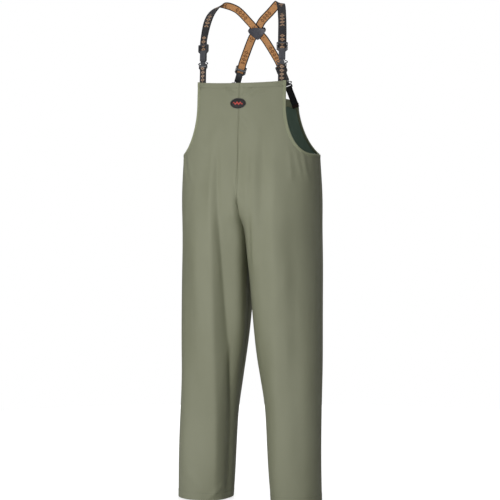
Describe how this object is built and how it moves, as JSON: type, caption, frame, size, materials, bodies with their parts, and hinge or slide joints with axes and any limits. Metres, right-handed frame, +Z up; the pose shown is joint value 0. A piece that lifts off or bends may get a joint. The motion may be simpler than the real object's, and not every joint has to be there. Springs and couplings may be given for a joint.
{
  "type": "rain bib overall",
  "caption": "Waterproof bib overall with two full legs, crossed elastic braces, a back cross slider and side-release adjuster buckles.",
  "frame": {"origin": "point midway between the tops of the two braces, where shoulders or a hanger carry the garment", "axes": "+Z up, -Y the way the wearer faces, +X the wearer's left"},
  "size_m": [0.438, 0.3, 1.4911],
  "materials": {
    "coated_cloth": "semi-matte polyurethane coated cloth, sage green, dark green inside",
    "turned_hem": "the same cloth turned over, stitched",
    "seam_tape": "heat-sealed tape",
    "badge_backing": "matt black moulded badge",
    "badge_rim": "silver-grey rim",
    "badge_motif": "raised red wave motif",
    "elastic_brace": "woven elastic, charcoal outside, tan inside, black borders",
    "front_tab": "charcoal webbing with tan woven blocks",
    "rear_tab": "black webbing",
    "front_buckle": "moulded charcoal acetal",
    "rear_buckle": "moulded black acetal",
    "cross_slider": "moulded dark grey acetal"
  },
  "bodies": {
    "garment": {"front_panel_left": "coated_cloth", "front_panel_right": "coated_cloth", "back_panel_left": "coated_cloth", "back_panel_right": "coated_cloth", "front_bib_hem": "turned_hem", "back_bib_hem": "turned_hem", "leg_hem_left": "turned_hem", "leg_hem_right": "turned_hem", "armhole_binding_left": "turned_hem", "armhole_binding_right": "turned_hem", "front_seam_tape": "seam_tape", "back_seam_tape": "seam_tape", "badge_backing": "badge_backing", "badge_rim": "badge_rim", "badge_motif": "badge_motif", "brace_left": "elastic_brace", "brace_right": "elastic_brace", "tab_front_left": "front_tab", "tab_front_right": "front_tab", "tab_rear_left": "rear_tab", "tab_rear_right": "rear_tab", "buckle_socket_front_left": "front_buckle", "buckle_socket_front_right": "front_buckle", "buckle_socket_rear_left": "rear_buckle", "buckle_socket_rear_right": "rear_buckle", "cross_slider": "cross_slider"},
    "latch_front_left": {"buckle_latch_front_left": "front_buckle"},
    "arm_front_left_a": {"latch_arm_front_left_a": "front_buckle"},
    "arm_front_left_b": {"latch_arm_front_left_b": "front_buckle"},
    "latch_front_right": {"buckle_latch_front_right": "front_buckle"},
    "arm_front_right_a": {"latch_arm_front_right_a": "front_buckle"},
    "arm_front_right_b": {"latch_arm_front_right_b": "front_buckle"},
    "latch_rear_left": {"buckle_latch_rear_left": "rear_buckle"},
    "arm_rear_left_a": {"latch_arm_rear_left_a": "rear_buckle"},
    "arm_rear_left_b": {"latch_arm_rear_left_b": "rear_buckle"},
    "latch_rear_right": {"buckle_latch_rear_right": "rear_buckle"},
    "arm_rear_right_a": {"latch_arm_rear_right_a": "rear_buckle"},
    "arm_rear_right_b": {"latch_arm_rear_right_b": "rear_buckle"}
  },
  "joints": [
    {"name": "latch_release_front_left", "type": "slide", "parent": "garment", "child": "latch_front_left", "axis": [0.0345, -0.1579, -0.9869], "range_m": [0, 0.018], "deforming": ["tab_front_left"]},
    {"name": "arm_squeeze_front_left_a", "type": "hinge", "parent": "latch_front_left", "child": "arm_front_left_a", "pos_m": [0.12932, -0.08503, -0.18839], "axis": [0.2855, -0.9447, 0.1611], "range_deg": [0, 5], "stiffness_Nm_per_rad": 0.05},
    {"name": "arm_squeeze_front_left_b", "type": "hinge", "parent": "latch_front_left", "child": "arm_front_left_b", "pos_m": [0.11113, -0.09049, -0.18816], "axis": [-0.2855, 0.9447, -0.1611], "range_deg": [0, 5], "stiffness_Nm_per_rad": 0.05},
    {"name": "latch_release_front_right", "type": "slide", "parent": "garment", "child": "latch_front_right", "axis": [0.0345, -0.1579, -0.9869], "range_m": [0, 0.018], "deforming": ["tab_front_right"]},
    {"name": "arm_squeeze_front_right_a", "type": "hinge", "parent": "latch_front_right", "child": "arm_front_right_a", "pos_m": [-0.1147, -0.09049, -0.18752], "axis": [-0.2952, -0.945, 0.1409], "range_deg": [0, 5], "stiffness_Nm_per_rad": 0.05},
    {"name": "arm_squeeze_front_right_b", "type": "hinge", "parent": "latch_front_right", "child": "arm_front_right_b", "pos_m": [-0.13285, -0.08504, -0.18903], "axis": [0.2952, 0.945, -0.1409], "range_deg": [0, 5], "stiffness_Nm_per_rad": 0.05},
    {"name": "latch_release_rear_left", "type": "slide", "parent": "garment", "child": "latch_rear_left", "axis": [0.3301, 0.16, -0.9303], "range_m": [0, 0.018], "deforming": ["tab_rear_left"]},
    {"name": "arm_squeeze_rear_left_a", "type": "hinge", "parent": "latch_rear_left", "child": "arm_rear_left_a", "pos_m": [0.07221, 0.09935, -0.24093], "axis": [0.1696, 0.9594, 0.2253], "range_deg": [0, 5], "stiffness_Nm_per_rad": 0.05},
    {"name": "arm_squeeze_rear_left_b", "type": "hinge", "parent": "latch_rear_left", "child": "arm_rear_left_b", "pos_m": [0.08985, 0.09494, -0.23543], "axis": [-0.1696, -0.9594, -0.2253], "range_deg": [0, 5], "stiffness_Nm_per_rad": 0.05},
    {"name": "latch_release_rear_right", "type": "slide", "parent": "garment", "child": "latch_rear_right", "axis": [-0.3301, 0.16, -0.9303], "range_m": [0, 0.018], "deforming": ["tab_rear_right"]},
    {"name": "arm_squeeze_rear_right_a", "type": "hinge", "parent": "latch_rear_right", "child": "arm_rear_right_a", "pos_m": [-0.08985, 0.09494, -0.23543], "axis": [-0.1696, 0.9594, 0.2253], "range_deg": [0, 5], "stiffness_Nm_per_rad": 0.05},
    {"name": "arm_squeeze_rear_right_b", "type": "hinge", "parent": "latch_rear_right", "child": "arm_rear_right_b", "pos_m": [-0.07221, 0.09935, -0.24093], "axis": [0.1696, -0.9594, -0.2253], "range_deg": [0, 5], "stiffness_Nm_per_rad": 0.05}
  ],
  "couplings": [
    {"joint": "arm_squeeze_front_left_b", "follows": "arm_squeeze_front_left_a", "ratio": 1},
    {"joint": "arm_squeeze_front_right_b", "follows": "arm_squeeze_front_right_a", "ratio": 1},
    {"joint": "arm_squeeze_rear_left_b", "follows": "arm_squeeze_rear_left_a", "ratio": 1},
    {"joint": "arm_squeeze_rear_right_b", "follows": "arm_squeeze_rear_right_a", "ratio": 1}
  ]
}
